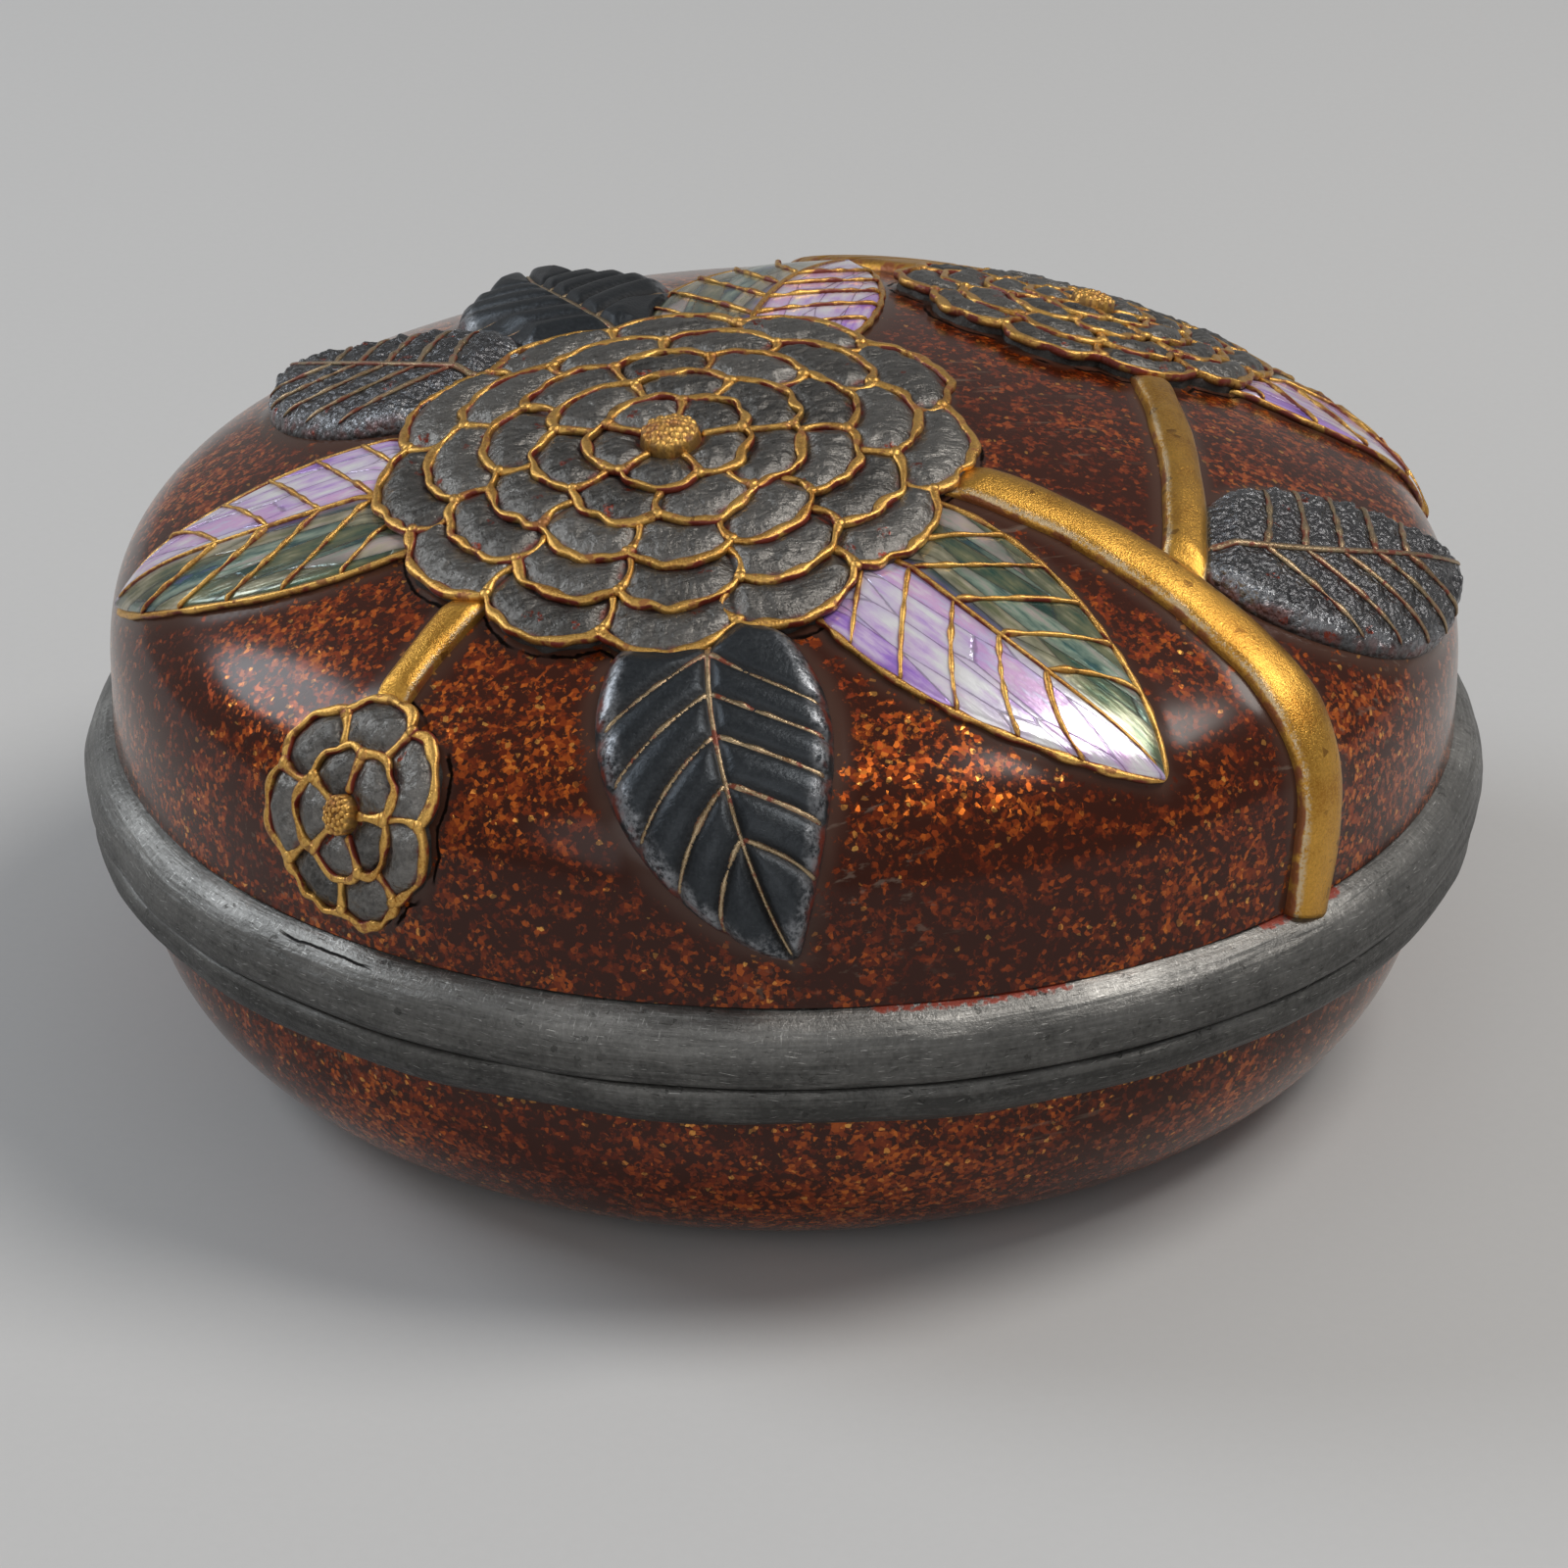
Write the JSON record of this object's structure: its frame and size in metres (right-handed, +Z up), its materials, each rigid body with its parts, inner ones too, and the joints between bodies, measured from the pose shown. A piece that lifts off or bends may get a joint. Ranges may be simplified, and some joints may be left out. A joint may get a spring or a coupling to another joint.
{
  "type": "lacquer incense box",
  "caption": "Low round lacquered box with a domed lift-off lid, metal rim beads and a raised flower spray inlaid in metal, gold and shell, for storing incense.",
  "frame": {"origin": "middle of the underside, on the plane of the foot ring", "axes": "+Z up, the way the lid lifts off; -Y towards the front of the spray on the lid"},
  "size_m": [0.076, 0.076, 0.0388],
  "materials": {
    "lacquer": "polished brown lacquer with gold flakes in it",
    "black_lacquer": "polished black lacquer",
    "pewter_band": "worn satin pewter",
    "pewter": "dark hammered pewter",
    "gold": "satin gold lacquer, worn to red in places",
    "shell": "polished iridescent shell"
  },
  "bodies": {
    "base": {"base_bowl": "lacquer", "base_rim_band": "pewter_band", "seat_lip": "black_lacquer"},
    "lid": {"lid_shell": "lacquer", "lid_rim_band": "pewter_band", "large_bloom_petals": "pewter", "large_bloom_outline": "gold", "large_bloom_heart": "gold", "small_bloom_petals": "pewter", "small_bloom_outline": "gold", "small_bloom_heart": "gold", "young_bloom_petals": "pewter", "young_bloom_outline": "gold", "young_bloom_heart": "gold", "main_stem": "gold", "small_bloom_twig": "gold", "young_bloom_twig": "gold", "pewter_leaf_front": "pewter", "pewter_leaf_front_veins": "gold", "pewter_leaf_right": "pewter", "pewter_leaf_right_veins": "gold", "pewter_leaf_left": "pewter", "pewter_leaf_left_veins": "gold", "pewter_leaf_back": "pewter", "pewter_leaf_back_veins": "gold", "shell_leaf_left": "shell", "shell_leaf_left_outline": "gold", "shell_leaf_crown": "shell", "shell_leaf_crown_outline": "gold", "shell_leaf_right": "shell", "shell_leaf_right_outline": "gold", "shell_leaf_back": "shell", "shell_leaf_back_outline": "gold", "gold_leaf": "gold"}
  },
  "joints": [
    {"name": "lid_lift", "type": "slide", "parent": "base", "child": "lid", "axis": [0, 0, 1], "range_m": [0, 0.04]}
  ]
}
